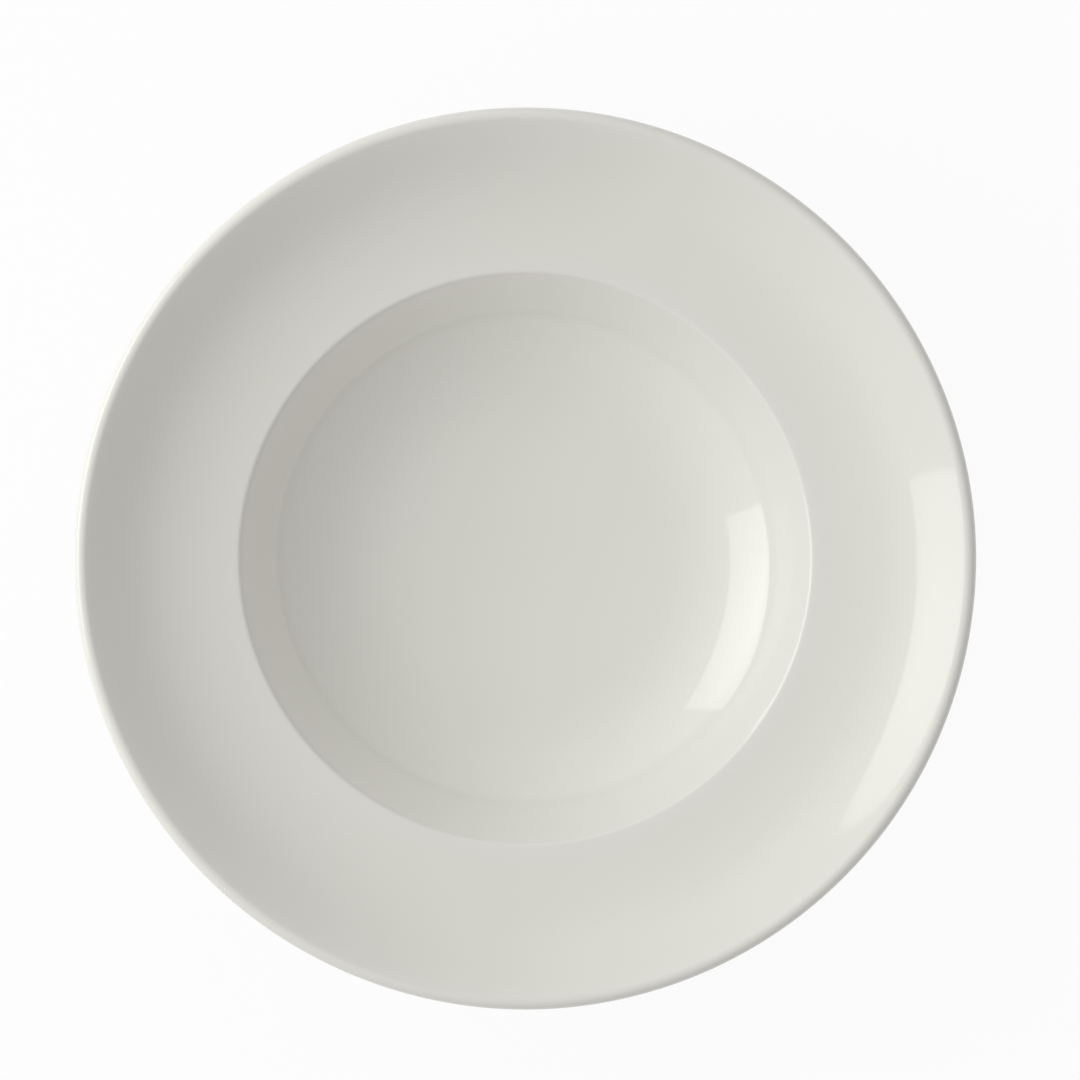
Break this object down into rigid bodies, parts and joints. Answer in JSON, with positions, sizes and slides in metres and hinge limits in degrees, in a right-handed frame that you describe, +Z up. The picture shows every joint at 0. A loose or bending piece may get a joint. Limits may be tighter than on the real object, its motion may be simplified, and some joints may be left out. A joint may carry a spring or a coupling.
{
  "type": "deep plate",
  "caption": "Round porcelain deep plate with a bowl-shaped well, a wide upswept rim, a rounded lip and a foot ring, glazed ivory white, for soups, pasta and other dishes with sauce.",
  "frame": {"origin": "centre of the foot ring, in the plane that the plate stands on", "axes": "+Z up along the axis of revolution, +X to the right and +Y to the top of the picture"},
  "size_m": [0.3, 0.3, 0.057],
  "materials": {
    "biscuit_porcelain": "bare fired porcelain, matt and finely grained, seen only on the standing face of the foot",
    "ivory_glaze": "smooth glossy glaze, plain ivory white"
  },
  "bodies": {
    "root": {"porcelain_body": "biscuit_porcelain", "upper_glaze": "ivory_glaze", "base_glaze": "ivory_glaze"}
  },
  "joints": []
}
